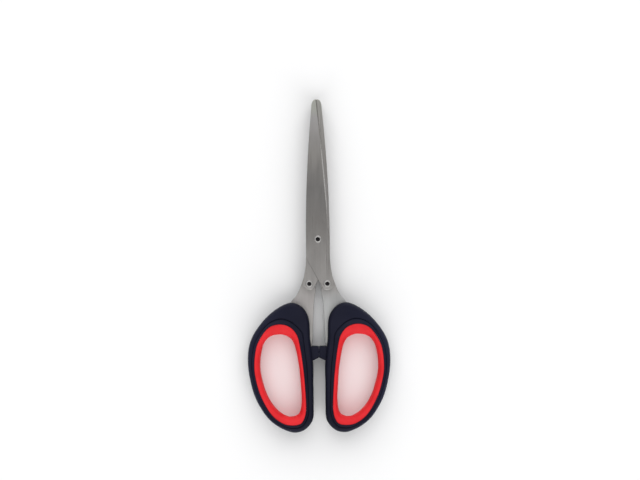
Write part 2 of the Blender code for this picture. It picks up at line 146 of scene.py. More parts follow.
def loft(name, rings, closed=False):
    # Skin through rings of matching points, capped or joined end to end
    shape = bmesh.new()
    rows = [[shape.verts.new(point) for point in ring] for ring in rings]
    joins = list(zip(rows, rows[1:]))
    if closed:
        joins.append((rows[-1], rows[0]))
    for low, high in joins:
        for i in range(len(low)):
            j = (i + 1) % len(low)
            shape.faces.new((low[i], low[j], high[j], high[i]))
    if not closed:
        for row in (rows[0], rows[-1]):
            shape.faces.new(row)
    bmesh.ops.recalc_face_normals(shape, faces=shape.faces)
    mesh = bpy.data.meshes.new(name)
    shape.to_mesh(mesh)
    shape.free()
    return mesh


def turned(name, profile, segments, closed=False):
    # Spins (radius, height) points about Z. Points on the axis become one vertex
    shape = bmesh.new()
    verts = [shape.verts.new((radius, 0, height)) for radius, height in profile]
    lines = list(zip(verts, verts[1:])) + ([(verts[-1], verts[0])] if closed else [])
    edges = [shape.edges.new(line) for line in lines]
    bmesh.ops.spin(
        shape, geom=verts + edges, cent=(0, 0, 0), axis=(0, 0, 1),
        angle=2 * math.pi, steps=segments, use_merge=True, use_duplicate=False,
    )
    bmesh.ops.remove_doubles(shape, verts=shape.verts, dist=mergeWithin)
    bmesh.ops.recalc_face_normals(shape, faces=shape.faces)
    mesh = bpy.data.meshes.new(name)
    shape.to_mesh(mesh)
    shape.free()
    mesh.shade_smooth()
    return mesh


def rod(name, radius, height, centre):
    # A cutter for round holes
    profile = ((0, height / 2), (radius, height / 2), (radius, -height / 2), (0, -height / 2))
    mesh = turned(name, profile, drillSegments)
    mesh.transform(Matrix.Translation(centre))
    return mesh


def combined(mesh, operation, other):
    # Boolean of two meshes, as a new mesh
    keep, tool = [bpy.data.objects.new("temporary", data) for data in (mesh, other)]
    for obj in (keep, tool):
        bpy.context.scene.collection.objects.link(obj)
    modifier = keep.modifiers.new("cut", "BOOLEAN")
    modifier.operation = operation
    modifier.object = tool
    bpy.context.view_layer.update()
    evaluated = keep.evaluated_get(bpy.context.evaluated_depsgraph_get())
    made = bpy.data.meshes.new_from_object(evaluated)
    for obj in (keep, tool):
        bpy.data.objects.remove(obj)
    return made


def creased(mesh, degrees):
    # This also smooths every face, so one that is to stay flat is set after it
    mesh.set_sharp_from_angle(angle=math.radians(degrees))
    return mesh


def addMaterials(mesh, materials):
    for material in materials:
        mesh.materials.append(material)


def footOf(node):
    # Middle of a solid's underside, where a turned piece stands
    low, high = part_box(node)
    return Vector(((low.x + high.x) / 2, (low.y + high.y) / 2, low.z))


def newPiece(name, mesh, body, nodes, place=(0, 0, 0)):
    piece = bpy.data.objects.new(name, mesh)
    bpy.context.scene.collection.objects.link(piece)
    piece.location = place
    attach(piece, body)
    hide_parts(*nodes)


# Materials


def colour(hexCode):
    # sRGB hex to a linear RGBA
    channels = [int(hexCode[i : i + 2], 16) / 255 for i in (1, 3, 5)]
    return [c / 12.92 if c <= 0.04045 else ((c + 0.055) / 1.055) ** 2.4 for c in channels] + [1]


def perMm(*sizes):
    # Mapping scale for features of these sizes in mm
    return [1 / (size * mm) for size in sizes]


def setInputs(tree, node, inputs):
    # Each input takes a number, a colour or another node's output
    for socket, value in inputs.items():
        if isinstance(value, bpy.types.NodeSocket):
            tree.links.new(value, node.inputs[socket])
        else:
            node.inputs[socket].default_value = value


def addNode(tree, kind, inputs=None, **settings):
    node = tree.nodes.new(kind)
    for setting, value in settings.items():
        setattr(node, setting, value)
    setInputs(tree, node, inputs or {})
    return node


def newMaterial(name):
    material = bpy.data.materials.new(name)
    material.use_nodes = True
    tree = material.node_tree
    return material, tree, tree.nodes["Principled BSDF"]


def toneAlong(tree, value, stops):
    # Colour that runs through (value in mm, hex) stops
    low, high = stops[0][0] * mm, stops[-1][0] * mm
    share = addNode(tree, "ShaderNodeMapRange", {
        "Value": value, "From Min": low, "From Max": high,
    })
    ramp = addNode(tree, "ShaderNodeValToRGB", {"Fac": share.outputs[0]})
    elements = ramp.color_ramp.elements
    for value, _ in stops[1:-1]:
        elements.new((value * mm - low) / (high - low))
    for element, (_, hexCode) in zip(elements, stops):
        element.color = colour(hexCode)
    return ramp.outputs["Color"]


noiseSpan = {"From Min": 0.3, "From Max": 0.7}  # holds nearly all of a noise's values
patchSpan = {"From Min": 0.35, "From Max": 0.65}  # narrower, so that patches get an even core


def steel(name, look):
    # Stainless steel. A brush or belt leaves fine lines that streak the light and vary the polish.
    # Real lines and pits are 0.05 to 0.1 mm apart, and all are drawn wider so that they show.
    # Lines, clouds and depths are in mm. Tones run by mm along Y, and so does the duller finish,
    # which goes from none at its first place to its full extra roughness at the second
    material, tree, shader = newMaterial(name)
    place = addNode(tree, "ShaderNodeTexCoord").outputs["Object"]
    xyz = addNode(tree, "ShaderNodeSeparateXYZ", {"Vector": place})
    noises, swings = [], []
    for size, swing, settings in (
        (look["line"], look["streak"], {"Detail": 4, "Roughness": 0.6}),
        (look["cloud"], look["patch"], {"Detail": 3}),
    ):
        scaled = addNode(tree, "ShaderNodeMapping", {"Vector": place, "Scale": perMm(*size)})
        noise = addNode(tree, "ShaderNodeTexNoise", {
            "Vector": scaled.outputs[0], "Scale": 1, **settings,
        })
        noises.append(noise.outputs["Fac"])
        swings.append(addNode(tree, "ShaderNodeMapRange", {
            **noiseSpan, "Value": noises[-1], "To Min": 1 - swing, "To Max": 1 + swing,
        }).outputs[0])
    both = addNode(tree, "ShaderNodeMath", {0: swings[0], 1: swings[1]}, operation="MULTIPLY")
    tone = toneAlong(tree, xyz.outputs["Y"], look["tones"])
    shaded = addNode(tree, "ShaderNodeVectorMath", {
        0: tone, "Scale": both.outputs[0],
    }, operation="SCALE")
    brush = noises[0]
    rough = addNode(tree, "ShaderNodeMapRange", {
        **noiseSpan, "Value": brush, "To Min": look["roughness"][0], "To Max": look["roughness"][1],
    })
    if "duller" in look:
        start, end, extra = look["duller"]
        duller = addNode(tree, "ShaderNodeMapRange", {
            "Value": xyz.outputs["Y"], "From Min": start * mm, "From Max": end * mm,
            "To Min": 0, "To Max": extra,
        })
        rough = addNode(tree, "ShaderNodeMath", {
            0: rough.outputs[0], 1: duller.outputs[0],
        }, operation="ADD")
    bump = addNode(tree, "ShaderNodeBump", {
        "Height": brush, "Strength": 1, "Distance": look["depth"] * mm,
    })
    setInputs(tree, shader, {
        "Base Color": shaded.outputs[0], "Metallic": look.get("metallic", 1),
        "Roughness": rough.outputs[0], "Normal": bump.outputs[0],
    })
    return material


def moulded(name, look):
    # Plastic or rubber out of a mould. The spark-eroded mould leaves a fine grain that softens the
    # light: about 0.1 mm, drawn coarser so that it shows. Grain, cloud and depth are in mm. Tones,
    # painted shade, multiply the colour by mm across from the axis of symmetry
    material, tree, shader = newMaterial(name)
    place = addNode(tree, "ShaderNodeTexCoord").outputs["Object"]
    grain = addNode(tree, "ShaderNodeTexNoise", {
        "Vector": place, "Scale": 1 / (look["grain"] * mm), "Detail": 3, "Roughness": 0.55,
    }).outputs["Fac"]
    cloud = addNode(tree, "ShaderNodeTexNoise", {
        "Vector": place, "Scale": 1 / (look["cloud"] * mm), "Detail": 2,
    }).outputs["Fac"]
    mix = addNode(tree, "ShaderNodeMapRange", {
        **patchSpan, "Value": cloud, "To Min": 0, "To Max": 1,
    })
    tone = addNode(tree, "ShaderNodeMix", {
        "Factor": mix.outputs[0], "A": colour(look["dark"]), "B": colour(look["light"]),
    }, data_type="RGBA").outputs["Result"]
    if "tones" in look:
        xyz = addNode(tree, "ShaderNodeSeparateXYZ", {"Vector": place})
        across = addNode(tree, "ShaderNodeMath", {0: xyz.outputs["X"]}, operation="ABSOLUTE")
        shade = toneAlong(tree, across.outputs[0], look["tones"])
        tone = addNode(tree, "ShaderNodeVectorMath", {
            0: tone, 1: shade,
        }, operation="MULTIPLY").outputs[0]
    rough = addNode(tree, "ShaderNodeMapRange", {
        **noiseSpan, "Value": grain, "To Min": look["roughness"][0], "To Max": look["roughness"][1],
    })
    bump = addNode(tree, "ShaderNodeBump", {
        "Height": grain, "Strength": 1, "Distance": look["depth"] * mm,
    })
    setInputs(tree, shader, {
        "Base Color": tone, "Roughness": rough.outputs[0], "Normal": bump.outputs[0],
        "IOR": look["ior"], "Specular IOR Level": look["specular"],
    })
    return material


# Blades: punched from 0.9 mm sheet, which rolls the rim over a little, then ground along one edge

blade = {
    "edgeOffset": 7.1 * mm,  # pivot axis to the cutting edge
    "edgeBow": 0.5 * mm,
    "grindWidth": 0.65 * mm,
    "grindRun": 0.08,  # share of the edge over which the grind starts
    "land": 0.2 * mm,
    "rimRoll": 0.2 * mm,
    "underRoll": 0.17 * mm,
    "underLeft": 0.05,  # share of it that is left below the ground edge
    "tipLength": 4.2 * mm,
    "tipRound": 0.5 * mm,
    "spineTaper": 0.634,
    "spinePower": 1.9,
    "tailRadius": 3.8 * mm,
    "tailRunOn": math.radians(8),
    "shoulderDrop": 11.2 * mm,
    "shoulderRadius": 6 * mm,
    "holeRadius": 1.85 * mm,
    "anchorRadius": 2 * mm,
    "tangSpread": 17.3186 * mm,
    "tangLength": 45.3 * mm,
    "edgeSteps": 24,
    "spineSteps": 24,
    "arcSteps": 14,
    "curveSteps": 8,
    "rimSteps": 3,
    "tipSteps": 4,
    "drillLength": 3,  # in thicknesses, so that it passes through
    "crease": 40,  # degrees
    "levelNormal": 0.9999,  # rise of a normal from which a face counts as flat
    # Shares of the half width and of the drop to the rivet
    "flank": ((1.19, 0.83), (1.06, 0.62), (1.0, 0.40), (1.0, 0.20)),
    # Shares of the tang's spread and length
    "tangInner": (
        (0.09, 0.08), (0.142, 0.19), (0.168, 0.29), (0.188, 0.44),
        (0.209, 0.66), (0.228, 0.80), (0.29, 0.90), (0.31, 1.0),
    ),
    "tangOuter": (
        (0.44, 1.0), (0.45, 0.80), (0.53, 0.64), (0.68, 0.52), (0.97, 0.41),
        (1.0, 0.28), (0.945, 0.23), (0.805, 0.17), (0.67, 0.08), (0.59, 0.0),
    ),
    "anchor": (0.76, 0.36),
}
bladeLow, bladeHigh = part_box("right_blade_1")
bladeReach, bladeHalfWidth = bladeHigh.y, -bladeLow.x
bladeThickness = bladeHigh.z - bladeLow.z
lowerRivet = footOf("right_rivet").xy


def edgePoint(share):
    # A straight line from the pivot's level to the tip, bowed outwards in the middle
    x = blade["edgeOffset"] * (1 - share) + 4 * blade["edgeBow"] * share * (1 - share)
    return Vector((x, share * bladeReach))


def spinePoint(share):
    taper = 1 - blade["spineTaper"] * share ** blade["spinePower"]
    return Vector((-bladeHalfWidth * taper, share * bladeReach))


def tangPoint(shares):
    # Across from the axis of symmetry, and down from the lower rivet
    return Vector((shares[0] * blade["tangSpread"], lowerRivet.y - shares[1] * blade["tangLength"]))


def tipArcs():
    shoulder = spinePoint(1 - blade["tipLength"] / bladeReach)
    small = blade["tipRound"]
    tipX = edgePoint(1 - small / bladeReach).x - small
    centre = Vector((tipX, bladeReach - small))
    arc = arcAbout(centre, small, 0, math.pi / 2, blade["tipSteps"])[:-1]
    crown = []
    for i in range(blade["arcSteps"] + 1):
        angle = math.pi / 2 * (1 - i / blade["arcSteps"])
        across, up = math.cos(angle), math.sin(angle)
        x, y = tipX + (shoulder.x - tipX) * across, shoulder.y + blade["tipLength"] * up
        crown.append(Vector((x, y)))
    return arc, crown


def bladeOutline(withTang):
    # Anticlockwise, each point with its share of the grind
    lastEdge = 1 - 2 * blade["tipRound"] / bladeReach
    shares = [lastEdge * i / blade["edgeSteps"] for i in range(blade["edgeSteps"] + 1)]
    edge = [(edgePoint(share), min(1, share / blade["grindRun"])) for share in shares]
    arc, crown = tipArcs()
    lastSpine = 1 - blade["tipLength"] / bladeReach
    steps = blade["spineSteps"]
    spine = [spinePoint(lastSpine * (1 - i / steps)) for i in range(1, steps + 1)]
    corner = Vector((-bladeHalfWidth, -blade["shoulderDrop"]))
    toRivet = lowerRivet - corner
    swing = math.asin(blade["tailRadius"] / toRivet.length)
    along = math.sqrt(toRivet.length**2 - blade["tailRadius"] ** 2)
    touch = corner + toRivet.normalized() @ Matrix.Rotation(swing, 2) * along
    shoulder = fillet(spine[-1], corner, touch, blade["shoulderRadius"], blade["arcSteps"])
    if withTang:
        inner = [tangPoint(shares) for shares in blade["tangInner"]]
        outer = [tangPoint(shares) for shares in blade["tangOuter"]]
        tail = smoothCurve([touch, *inner], blade["curveSteps"], closed=False)
        tail += smoothCurve(outer, blade["curveSteps"], closed=False)
    else:
        first = (touch - lowerRivet).angle_signed(Vector((1, 0)))
        first += 2 * math.pi if first < 0 else 0
        last = 2 * math.pi + blade["tailRunOn"]
        tail = arcAbout(lowerRivet, blade["tailRadius"], first, last, 2 * blade["arcSteps"])
    flank = [Vector((x * bladeHalfWidth, y * lowerRivet.y)) for x, y in blade["flank"]]
    flank = smoothCurve([tail[-1], *flank], blade["curveSteps"], closed=False)[1:]
    ground = edge + [(point, 1 - i / len(arc)) for i, point in enumerate(arc)]
    return ground + [(point, 0) for point in crown + spine + shoulder + tail + flank]


def bladeMesh(name, withTang, materials):
    # Flat shearing face below, its rim softened. Above, the rolled rim gives way to the grind along
    # the edge. The materials go on before the holes: sheet, grind, cut side and shearing face
    outline, grinds = zip(*reversed(bladeOutline(withTang)))
    outline = list(outline)
    roll, land, steps = blade["rimRoll"], blade["land"], blade["rimSteps"]
    under = [blade["underRoll"] * (1 + blade["underLeft"] - g) for g in grinds]
    rings = [level(movedIn(outline, under), 0)]
    rings.append([Vector((point.x, point.y, height)) for point, height in zip(outline, under)])
    for i in range(steps + 1):
        angle = math.pi / 2 * i / steps
        rimIn = roll * (1 - math.cos(angle))
        rimUp = bladeThickness - roll * (1 - math.sin(angle))
        grindIn = blade["grindWidth"] * i / steps
        grindUp = land + (bladeThickness - land) * i / steps
        points = movedIn(outline, [rimIn + (grindIn - rimIn) * g for g in grinds])
        heights = [rimUp + (grindUp - rimUp) * g for g in grinds]
        rings.append([Vector((point.x, point.y, height)) for point, height in zip(points, heights)])
    mesh = loft(name, rings)
    addMaterials(mesh, materials)
    grindSlot, sideSlot, faceSlot = 1, 2, 3  # slot 0 is the sheet's
    count = len(outline)
    for polygon in mesh.polygons:
        ring, spot = divmod(polygon.index, count)
        if 1 < ring <= steps + 1 and grinds[spot] + grinds[(spot + 1) % count] > 1:
            polygon.material_index = grindSlot
        if ring == 1:
            polygon.material_index = sideSlot
        if ring > steps + 1 and spot == 0:
            polygon.material_index = faceSlot
    holes = [(Vector((0, 0)), blade["holeRadius"]), (lowerRivet, blade["holeRadius"])]
    if withTang:
        holes.append((tangPoint(blade["anchor"]), blade["anchorRadius"]))
    drillLength = blade["drillLength"] * bladeThickness
    for centre, radius in holes:
        drill = rod("drill", radius, drillLength, (centre.x, centre.y, bladeThickness / 2))
        mesh = combined(mesh, "DIFFERENCE", drill)
    mesh.name = name
    creased(mesh, blade["crease"])
    for polygon in mesh.polygons:  # the rim's slope isn't to shade the sheet's flat faces
        if abs(polygon.normal.z) > blade["levelNormal"]:
            polygon.use_smooth = False
    return mesh


def sidePlace(side, low, high, fromMiddle=False):
    # The left half is the right half turned over about Y
    if side == "right":
        return Matrix.Translation((0, 0, (low.z + high.z) / 2 if fromMiddle else low.z))
    rise = (low.z + high.z) / 2 if fromMiddle else high.z
    return Matrix.Translation((0, 0, rise)) @ Matrix.Rotation(math.pi, 4, "Y")


# Stainless sheet, belt-brushed along the blade: satin, with long faint streaks, and rougher at the
# tang, which the belt missed. Its tones are painted light and shade: darker in mid-blade, paler
# towards the tip, and paler at the tang to make up for the shade it lies in among the blades
brushedSheet = steel("brushedStainlessSheet", {
    "line": (0.35, 30, 0.35), "cloud": (5, 16, 5), "streak": 0.05, "patch": 0.07, "depth": 0.004,
    "roughness": (0.27, 0.36), "duller": (-28, -36, 0.18),
    "tones": (
        (-60, "#babab9"), (-42, "#bbbcbb"), (-36, "#b3b3b2"), (-29, "#b2afac"), (-8, "#a5a29f"),
        (10, "#928f8c"), (32, "#8b8987"), (50, "#9f9c98"), (64, "#aaa7a5"), (74, "#b4b2b1"),
        (79, "#bdbeb6"), (85, "#c3c4bc"),
    ),
})
# The same steel, freshly ground across the edge: cleaner, and brighter, partly from the grind and
# partly as a painted highlight that peaks from 30 to 50 mm and fades towards the pivot and the tip
groundEdge = steel("groundStainlessEdge", {
    "line": (3, 0.3, 3), "cloud": (6, 10, 6), "streak": 0.04, "patch": 0.04, "depth": 0.004,
    "roughness": (0.22, 0.30),
    "tones": (
        (0, "#8f8d8b"), (14, "#94928f"), (20, "#a8a6a3"), (30, "#b7b6b3"), (50, "#b8b7b4"),
        (62, "#969490"), (85, "#86847f"),
    ),
})
# The cut sides: torn by the punch, so rough and dull, and dark grey as painted shade, so that the
# blades' edges show as dark lines
punchedSide = steel("punchedStainlessSide", {
    "line": (0.3, 0.3, 3), "cloud": (3, 3, 3), "streak": 0.15, "patch": 0.08, "depth": 0.02,
    "roughness": (0.5, 0.65), "tones": ((-60, "#5c5a58"), (85, "#605e5c")),
})
# The shearing face, lapped flat. Its tones are painted light and shade along the blade: a little
# brighter than the belt-brushed side in mid-blade
lappedFace = steel("lappedStainlessFace", {
    "line": (0.35, 30, 0.35), "cloud": (5, 16, 5), "streak": 0.05, "patch": 0.07, "depth": 0.003,
    "roughness": (0.27, 0.36), "duller": (-28, -36, 0.18),
    "tones": (
        (-60, "#b9b6b3"), (-36, "#b1adab"), (-29, "#b4b1ae"), (-8, "#a5a29f"), (8, "#9d9a98"),
        (20, "#a29f9d"), (28, "#a09d9b"), (36, "#989593"), (42, "#979491"), (50, "#a19e9a"),
        (70, "#a9a6a3"), (85, "#b3b2ac"),
    ),
})

bladeSteels = (brushedSheet, groundEdge, punchedSide, lappedFace)
shortBlade = bladeMesh("shortBlade", False, bladeSteels)
tangBlade = bladeMesh("tangBlade", True, bladeSteels)
for side in sides:
    for pair in pairs:
        hasTang = pair == tangPair
        node = f"{side}_blade_{pair}" + ("_tang" if hasTang else "")
        mesh = (tangBlade if hasTang else shortBlade).copy()
        mesh.transform(sidePlace(side, *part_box(node)))
        newPiece(node.replace("blade", "bladeSheet"), mesh, bodyOf[side], [node])
print("blades made")

# Rivets: semi-tubular, a solid head below and a rolled hollow end above

rivet = {
    "shank": 1.75 * mm,
    "bore": 1.3 * mm,
    "boreDepth": 5 * mm,
    "boreFlat": 0.4 * mm,
    "boreFoot": 0.8 * mm,  # height of the cone at its foot
    "boreMouth": 1.32 * mm,  # out to here the bore's dull grey runs: painted shade
    "collar": 1.97 * mm,  # edge of the lip's brighter finish: partly polish, partly painted highlight
    "head": 2.7 * mm,
    "plate": 0.35 * mm,
    "plateBevel": 0.04 * mm,
    # Rolled lip: radius in mm, and drop from the top in mm
    "lip": (
        (1.30, 0.24), (1.31, 0.10), (1.34, 0.03), (1.40, 0.0), (1.90, 0.0),
        (1.95, 0.02), (1.98, 0.08), (2.01, 0.14), (2.06, 0.16), (2.33, 0.16),
        (2.38, 0.19), (2.40, 0.25), (2.38, 0.34),
    ),
    # Underside of the head: inset from its rim in mm, and height in mm
    "headFoot": ((0, 0.2), (0.05, 0.1), (0.16, 0.03), (0.35, 0)),
    "segments": 72,
    "crease": 38,  # degrees
}


def rivetMesh(name, length):
    floor = length - rivet["boreDepth"]
    head, plate, bevel = rivet["head"], rivet["plate"], rivet["plateBevel"]
    profile = [(0, floor), (rivet["boreFlat"], floor), (rivet["bore"], floor + rivet["boreFoot"])]
    profile += [(radius * mm, length - drop * mm) for radius, drop in rivet["lip"]]
    profile += [(rivet["shank"], length - plate), (rivet["shank"], plate)]
    profile += [(head - bevel, plate), (head, plate - bevel)]
    profile += [(head - inset * mm, height * mm) for inset, height in rivet["headFoot"]]
    mesh = turned(name, profile + [(0, 0)], rivet["segments"])
    boreSlot, wireSlot = 1, 2  # slot 0 is the lip's
    for polygon in mesh.polygons:
        reach = max(mesh.vertices[v].co.xy.length for v in polygon.vertices)
        if reach < rivet["boreMouth"]:
            polygon.material_index = boreSlot
        elif reach > rivet["collar"]:
            polygon.material_index = wireSlot
    return creased(mesh, rivet["crease"])


# Stainless wire, the lip rolled over by a punch, brighter than the sheet: partly polish and partly
# a painted highlight ring round the bore
rivetSteel = steel("rolledRivetSteel", {
    "line": (0.5, 0.5, 0.5), "cloud": (2, 2, 2), "streak": 0.04, "patch": 0.05, "depth": 0.004,
    "roughness": (0.40, 0.48), "tones": ((-3, "#b6b5b2"), (3, "#b8b7b4")),
})
# Its flange and head keep the skin of the drawn wire: greyer
wireSteel = steel("drawnRivetSteel", {
    "line": (0.5, 0.5, 0.5), "cloud": (2, 2, 2), "streak": 0.05, "patch": 0.06, "depth": 0.005,
    "roughness": (0.44, 0.52), "tones": ((-3, "#918f8c"), (3, "#939190")),
})
# Inside the tube a dull grey that doesn't shine as metal: painted shade that keeps the hole dark
boreSteel = steel("oiledRivetBore", {
    "line": (0.5, 0.5, 0.5), "cloud": (2, 2, 2), "streak": 0.1, "patch": 0.1, "depth": 0.01,
    "roughness": (0.6, 0.75), "metallic": 0, "tones": ((-3, "#807d80"), (3, "#827f82")),
})

rivetBodies = {"pivot": "right_half", "right": "right_half", "left": "left_half"}
for kind, body in rivetBodies.items():
    node = f"{kind}_rivet"
    low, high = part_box(node)
    mesh = rivetMesh(node, high.z - low.z)
    addMaterials(mesh, (rivetSteel, boreSteel, wireSteel))
    newPiece(f"{kind}_rivetTurned", mesh, body, [node], footOf(node))
print("rivets made")

# Spacers: washers and collars between the blades, tumbled so that every rim is soft

spacer = {
    "bore": 1.85 * mm,
    "rimRound": 0.15 * mm,
    "segments": 64,
    "crease": 50,  # degrees
}


def spacerMesh(name, radius, thickness):
    bore, soft = spacer["bore"], spacer["rimRound"]
    mid = soft * quarterMiddle
    profile = (
        (bore + soft / 2, 0), (radius - soft, 0), (radius - mid, mid), (radius, soft),
        (radius, thickness - soft), (radius - mid, thickness - mid), (radius - soft, thickness),
        (bore + soft / 2, thickness), (bore, thickness - soft / 2), (bore, soft / 2),
    )
    return creased(turned(name, profile, spacer["segments"], closed=True), spacer["crease"])


# Stainless collars, tumbled: an even grey, a little pitted
tumbledSteel = steel("tumbledSpacerSteel", {
    "line": (0.4, 0.4, 0.4), "cloud": (2, 2, 2), "streak": 0.08, "patch": 0.06, "depth": 0.01,
    "roughness": (0.32, 0.46), "tones": ((-4, "#aeadaa"), (4, "#b0afac")),
})

spacerBodies = {"pivot": "right_half", "right_rivet": "right_half", "left_rivet": "left_half"}
for pair in pairs[:-1]:
    for kind, body in spacerBodies.items():
        node = f"{kind}_spacer_{pair}"
        low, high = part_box(node)
        mesh = spacerMesh(node, (high.x - low.x) / 2, high.z - low.z)
        addMaterials(mesh, [tumbledSteel])
        newPiece(f"{kind}_collar_{pair}", mesh, body, [node], footOf(node))
print("spacers made")

# Handles: one moulding round the tang, with a dished band down to the grip and a stop lug

handle = {
    "inner": 3.65 * mm,  # axis of symmetry to the straight side
    "swell": 0.08 * mm,  # how far the curve runs past its lowest points
    "bulge": 0.008 * mm,  # and past its widest
    "roundWidth": 1.9 * mm,
    "roundDepth": 4 * mm,
    "roundShare": 0.5,
    "roundSteps": 9,
    "crown": 0.2 * mm,
    "ridgeWidth": 3.8 * mm,
    "ridgeShare": 0.44,
    "ridgeBlend": 5,  # the higher, the sharper the change from the width to the share
    "dishDepth": 1.4 * mm,
    "lip": 0.15 * mm,  # rounded edge beside the grip
    "partingHeight": 0.22 * mm,  # half the parting line's width: wider than real, so that it shows
    "partingDepth": 0.14 * mm,
    "lugSetback": 26.7 * mm,
    "lugHeight": 8.4 * mm,
    "lugThickness": 9 * mm,
    "lugGap": 0.03 * mm,
    "lugRoot": 3 * mm,
    "lugBevel": 0.5 * mm,
    "lugBevelSteps": 4,
    "slotGap": 0.12 * mm,
    "postLength": 4,  # in slot heights, so that it passes through
    "curveSteps": 16,
    "spokes": 200,
    "crease": 42,  # degrees
    # Shares of the handle's width from its inner side, and of its length from its foot
    "outline": (
        (0.316, 1.000), (0.539, 0.957), (0.774, 0.854), (0.952, 0.713), (1.000, 0.552),
        (0.946, 0.362), (0.845, 0.223), (0.646, 0.085), (0.350, 0.003), (0.154, 0.015),
        (0.016, 0.094), (0.000, 0.205), (0.000, 0.375), (0.000, 0.527), (0.042, 0.716),
        (0.063, 0.881), (0.157, 0.963),
    ),
    "seat": (
        (0.505, 0.837), (0.669, 0.814), (0.781, 0.750), (0.869, 0.659), (0.902, 0.504),
        (0.865, 0.381), (0.783, 0.259), (0.635, 0.135), (0.469, 0.071), (0.328, 0.056),
        (0.196, 0.069), (0.133, 0.121), (0.112, 0.196), (0.129, 0.381), (0.152, 0.504),
        (0.195, 0.659), (0.241, 0.750), (0.347, 0.814),
    ),
    "centre": (0.47, 0.46),
    "lobe": (0.12, 0.35, 0.65, 0.88, 1.0),
    # From the ridge, through a groove and down to the grip: shares of the band's width and depth
    "dish": (
        (0.01, 0.01), (0.02, 0.05), (0.03, 0.25), (0.04, 0.66), (0.06, 0.78), (0.10, 0.80),
        (0.15, 0.74), (0.20, 0.62), (0.26, 0.53), (0.34, 0.53), (0.46, 0.63), (0.60, 0.75),
        (0.74, 0.86), (0.87, 0.95), (0.96, 0.99),
    ),
    # Free end of the lug: shares of its reach and of its height
    "lug": ((0.93, 0.0), (1.0, 0.09), (1.0, 0.80), (0.10, 1.0)),
}
handleLow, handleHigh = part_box("right_handle")
handleHalf = (handleHigh.z - handleLow.z) / 2


def handlePoint(shares):
    low = Vector((handle["inner"], handleLow.y + handle["swell"]))
    high = Vector((handleHigh.x - handle["bulge"], handleHigh.y))
    return low + Vector((shares[0] * (high.x - low.x), shares[1] * (high.y - low.y)))


def handleLoop(table):
    loop = smoothCurve([handlePoint(shares) for shares in table], handle["curveSteps"])
    return spokeLoop(loop, handlePoint(handle["centre"]), handle["spokes"])


def handleRows(outline, seat):
    # The upper half of the section, from the middle of the outer wall to the wall behind the grip
    normals = inwardNormals(outline)
    widths = [(a - b).dot(normal) for a, b, normal in zip(seat, outline, normals)]
    rounds = [min(handle["roundWidth"], handle["roundShare"] * width) for width in widths]
    # The band keeps its width, or its share of the width where that is less, with a soft change
    shares, blend = [], handle["ridgeBlend"]
    for width in widths:
        total = (width / handle["ridgeWidth"]) ** blend + handle["ridgeShare"] ** -blend
        shares.append(total ** (-1 / blend))
    edgeTop = handleHalf - handle["crown"]
    # Two rows beside the parting line keep its slope from shading the whole wall
    rows = [(outline, handle["partingHeight"]), (outline, 2 * handle["partingHeight"])]
    for i in range(handle["roundSteps"] + 1):
        angle = math.pi / 2 * i / handle["roundSteps"]
        insets = [reach * (1 - math.cos(angle)) for reach in rounds]
        height = edgeTop - handle["roundDepth"] * (1 - math.sin(angle))
        rows.append((movedIn(outline, insets), height))
    rim = rows[-1][0]
    ridge = [inner.lerp(outer, share) for inner, outer, share in zip(seat, outline, shares)]
    for across in handle["lobe"]:
        loop = [a.lerp(b, across) for a, b in zip(rim, ridge)]
        rows.append((loop, handleHalf - handle["crown"] * (1 - across) ** 2))
    for across, down in handle["dish"]:
        loop = [a.lerp(b, across) for a, b in zip(ridge, seat)]
        rows.append((loop, handleHalf - handle["dishDepth"] * down))
    wallTop = handleHalf - handle["dishDepth"]
    lip = handle["lip"]
    mid = lip * quarterMiddle
    rows.append((movedIn(seat, [-lip] * len(seat)), wallTop))
    rows.append((movedIn(seat, [-mid] * len(seat)), wallTop - mid))
    rows.append((seat, wallTop - lip))
    return rows


def ringRows(rows):
    return rows + [(loop, -height) for loop, height in reversed(rows)]


def plateMesh(name, outline, low, high):
    return loft(name, [level(outline, low), level(outline, high)])


def lugMesh():
    drop, height = handleHigh.y - handle["lugSetback"], handle["lugHeight"]
    root, reach = handle["inner"] + handle["lugRoot"], handle["inner"] - handle["lugGap"] / 2
    outline = [Vector((root, drop - height)), Vector((root, drop))]
    outline += [Vector((handle["inner"] - x * reach, drop - y * height)) for x, y in handle["lug"]]
    mesh = plateMesh("lug", outline, -handle["lugThickness"] / 2, handle["lugThickness"] / 2)
    shape = bmesh.new()
    shape.from_mesh(mesh)
    bmesh.ops.bevel(
        shape, geom=list(shape.edges), offset=handle["lugBevel"], offset_type="OFFSET",
        segments=handle["lugBevelSteps"], profile=0.5, affect="EDGES", clamp_overlap=True,
    )
    shape.to_mesh(mesh)
    shape.free()
    mesh.shade_smooth()
    return mesh


def tangSlot():
    # The space the tang fills, less the post of plastic through its anchor hole
    outline = [point for point, _ in reversed(bladeOutline(True))]
    wide = movedIn(outline, [-handle["slotGap"]] * len(outline))
    low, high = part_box("right_blade_3_tang")
    middle = (handleLow.z + handleHigh.z) / 2
    low, high = low.z - middle - handle["slotGap"], high.z - middle + handle["slotGap"]
    slotMesh = plateMesh("slot", wide, low, high)
    centre = tangPoint(blade["anchor"])
    radius, length = blade["anchorRadius"] - handle["slotGap"], handle["postLength"] * (high - low)
    post = rod("post", radius, length, (centre.x, centre.y, (low + high) / 2))
    return combined(slotMesh, "DIFFERENCE", post)


def handleMesh(name):
    outline, seat = handleLoop(handle["outline"]), handleLoop(handle["seat"])
    rings = [level(loop, height) for loop, height in ringRows(handleRows(outline, seat))]
    rings.append(level(movedIn(outline, [handle["partingDepth"]] * len(outline)), 0))
    mesh = loft(name, rings, closed=True)
    mesh = combined(mesh, "UNION", lugMesh())
    mesh = combined(mesh, "DIFFERENCE", tangSlot())
    mesh.name = name
    return creased(mesh, handle["crease"])


